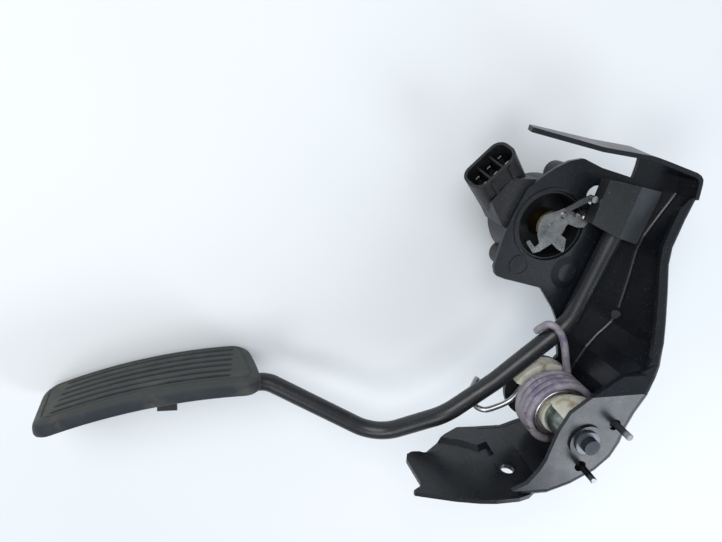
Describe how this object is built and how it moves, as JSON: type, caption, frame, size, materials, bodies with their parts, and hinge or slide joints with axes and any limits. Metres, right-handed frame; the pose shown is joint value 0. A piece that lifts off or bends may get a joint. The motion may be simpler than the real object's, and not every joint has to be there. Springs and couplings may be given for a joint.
{
  "type": "accelerator pedal with position sensor",
  "caption": "Accelerator pedal: bent rod arm with a ribbed rubber foot pad, sprung on a shaft in a folded steel bracket that carries a position sensor with a connector.",
  "frame": {"origin": "centre of the fixing hole in the bracket's foot, on its inner face", "axes": "+X from the foot pad to the bracket, +Y from the back to the driver's side, +Z along the pivot shaft towards the near lug"},
  "size_m": [0.3378, 0.18, 0.109],
  "materials": {
    "bracket": "satin blue-black paint over pressed steel",
    "pivot_shaft": "turned steel with a dull end",
    "shaft_collar": "dark raised collar",
    "shaft_clip": "bright sprung wire",
    "return_spring_outer": "thick spring wire with worn purple paint",
    "return_spring_inner": "bright spring wire",
    "arm_rod": "satin black painted rod",
    "hub_flange": "black painted steel",
    "pivot_tube": "greenish zinc plate",
    "shaft_bushes": "plain nylon bushes",
    "far_spring_seat": "white nylon with brown grease",
    "near_spring_seat": "white nylon with brown grease",
    "lever_plate": "black folded sheet",
    "stop_pad": "charcoal moulded rubber",
    "pad_plate": "black painted steel, inside the rubber",
    "pad_rubber": "dark grey rubber, worn brownish in the middle",
    "sensor_housing": "black moulded plastic",
    "sensor_back_cover": "black moulded plastic",
    "connector_divider": "black moulded plastic",
    "sensor_terminals": "tinned blades",
    "sensor_screws": "plated screws",
    "sensor_shaft": "bright steel",
    "sensor_rotor": "dark plastic",
    "sensor_lever": "nickel-silver coloured folded sheet",
    "lever_rivet": "bright rivets",
    "lever_roller": "bright pin",
    "lever_spring": "fine brassy spring wire"
  },
  "bodies": {
    "bracket": {"bracket": "bracket", "pivot_shaft": "pivot_shaft", "shaft_collar": "shaft_collar", "shaft_clip": "shaft_clip", "sensor_housing": "sensor_housing", "sensor_back_cover": "sensor_back_cover", "connector_divider": "connector_divider", "sensor_terminals": "sensor_terminals", "sensor_screws": "sensor_screws"},
    "pedal_arm": {"arm_rod": "arm_rod", "hub_flange": "hub_flange", "pivot_tube": "pivot_tube", "shaft_bushes": "shaft_bushes", "far_spring_seat": "far_spring_seat", "near_spring_seat": "near_spring_seat", "lever_plate": "lever_plate", "stop_pad": "stop_pad", "pad_plate": "pad_plate", "pad_rubber": "pad_rubber", "return_spring_outer": "return_spring_outer", "return_spring_inner": "return_spring_inner"},
    "sensor_rotor": {"sensor_shaft": "sensor_shaft", "sensor_rotor": "sensor_rotor", "sensor_lever": "sensor_lever", "lever_rivet": "lever_rivet", "lever_roller": "lever_roller", "lever_spring": "lever_spring"}
  },
  "joints": [
    {"name": "pedal_pivot", "type": "hinge", "parent": "bracket", "child": "pedal_arm", "pos_m": [0.027, 0.03, -0.0134], "axis": [0, 0, 1], "range_deg": [0, 9], "stiffness_Nm_per_rad": 5, "springref_deg": -45.84, "deforming": ["return_spring_outer", "return_spring_inner"]},
    {"name": "sensor_lever_pivot", "type": "hinge", "parent": "bracket", "child": "sensor_rotor", "pos_m": [0.02, 0.1235, -0.0334], "axis": [0, 0, 1], "range_deg": [0, 47]}
  ],
  "couplings": [
    {"joint": "sensor_lever_pivot", "follows": "pedal_pivot", "ratio": 5.2}
  ]
}
